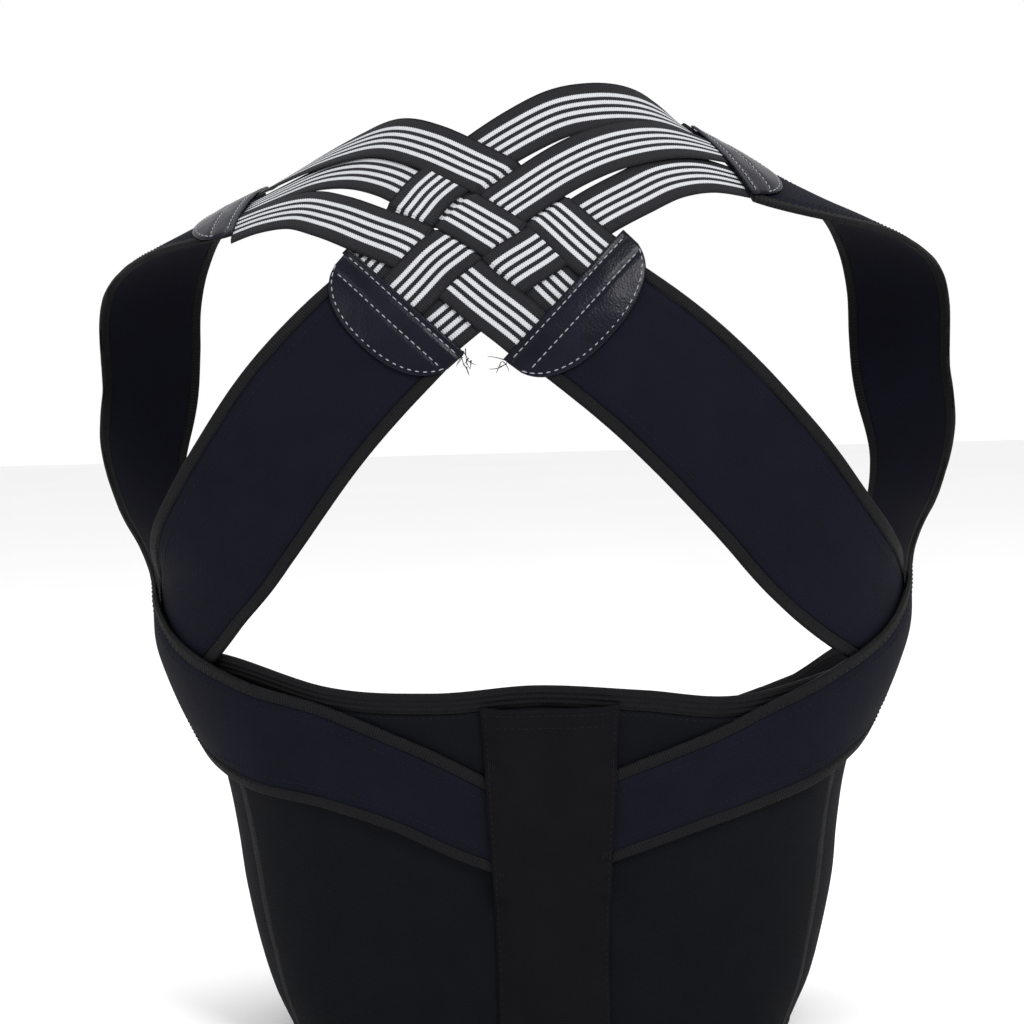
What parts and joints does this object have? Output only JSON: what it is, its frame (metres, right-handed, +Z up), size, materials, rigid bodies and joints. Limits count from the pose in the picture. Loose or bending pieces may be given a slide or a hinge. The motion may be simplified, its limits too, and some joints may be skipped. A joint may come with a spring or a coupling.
{
  "type": "posture back brace",
  "caption": "Posture back brace: lumbar belt with a stay pocket, padded cross and body straps, and woven striped elastic bands behind the shoulders.",
  "frame": {"origin": "on the wearer's torso axis, level with the belt's lower edge at the back", "axes": "+Z up, +X the wearer's right, +Y the way the wearer faces"},
  "size_m": [0.4372, 0.2511, 0.4651],
  "materials": {
    "striped_elastic": "woven elastic, black with white stripes",
    "leather": "glossy dark navy leather with pale stitching",
    "binding": "black fold-over binding tape",
    "ribbed_elastic": "black ribbed elastic",
    "spring_steel": "bare spring steel",
    "plastic_tips": "white plastic",
    "hook_tape": "black hook tape",
    "pocket_cloth": "matte black cloth",
    "belt_cloth": "matte navy-black padded cloth",
    "strap_cloth": "matte dark navy padded cloth"
  },
  "bodies": {
    "harness": {"back_panel": "belt_cloth", "belt_bottom_binding": "binding", "belt_top_trim": "ribbed_elastic", "left_band_1": "striped_elastic", "left_band_2": "striped_elastic", "left_band_3": "striped_elastic", "left_body_binding": "binding", "left_body_strap": "strap_cloth", "left_cross_binding": "binding", "left_cross_strap": "strap_cloth", "left_lower_patch": "leather", "left_shoulder_patch": "leather", "left_side_panel": "belt_cloth", "left_stay": "spring_steel", "right_band_1": "striped_elastic", "right_band_2": "striped_elastic", "right_band_3": "striped_elastic", "right_body_binding": "binding", "right_body_strap": "strap_cloth", "right_cross_binding": "binding", "right_cross_strap": "strap_cloth", "right_lower_patch": "leather", "right_shoulder_patch": "leather", "right_side_panel": "belt_cloth", "right_stay": "spring_steel", "stay_pocket": "pocket_cloth", "stay_tips": "plastic_tips"},
    "right_front": {"front_hook_pad": "hook_tape", "right_front_binding": "binding", "right_front_panel": "belt_cloth", "right_strap_end": "strap_cloth"},
    "left_front": {"left_front_binding": "binding", "left_front_panel": "belt_cloth", "left_strap_end": "strap_cloth"},
    "right_tab": {"right_hook_tab": "strap_cloth", "right_tab_hooks": "hook_tape"},
    "left_tab": {"left_hook_tab": "strap_cloth", "left_tab_hooks": "hook_tape"}
  },
  "joints": [
    {"name": "right_front_hinge", "type": "hinge", "parent": "harness", "child": "right_front", "pos_m": [0.1223, 0.0397, 0], "axis": [-0.2475, -0.0808, -0.9655], "range_deg": [0, 130]},
    {"name": "left_front_hinge", "type": "hinge", "parent": "harness", "child": "left_front", "pos_m": [-0.1223, 0.0397, 0], "axis": [0.2475, -0.0808, -0.9655], "range_deg": [-85, 0]},
    {"name": "right_tab_peel", "type": "hinge", "parent": "right_front", "child": "right_tab", "pos_m": [0.1361, 0.0695, 0.1084], "axis": [0.2372, -0.4805, -0.8443], "range_deg": [0, 100]},
    {"name": "left_tab_peel", "type": "hinge", "parent": "left_front", "child": "left_tab", "pos_m": [-0.1361, 0.0695, 0.1084], "axis": [-0.2372, -0.4805, -0.8443], "range_deg": [-100, 0]}
  ],
  "couplings": [
    {"joint": "left_front_hinge", "follows": "right_front_hinge", "ratio": -0.65}
  ]
}
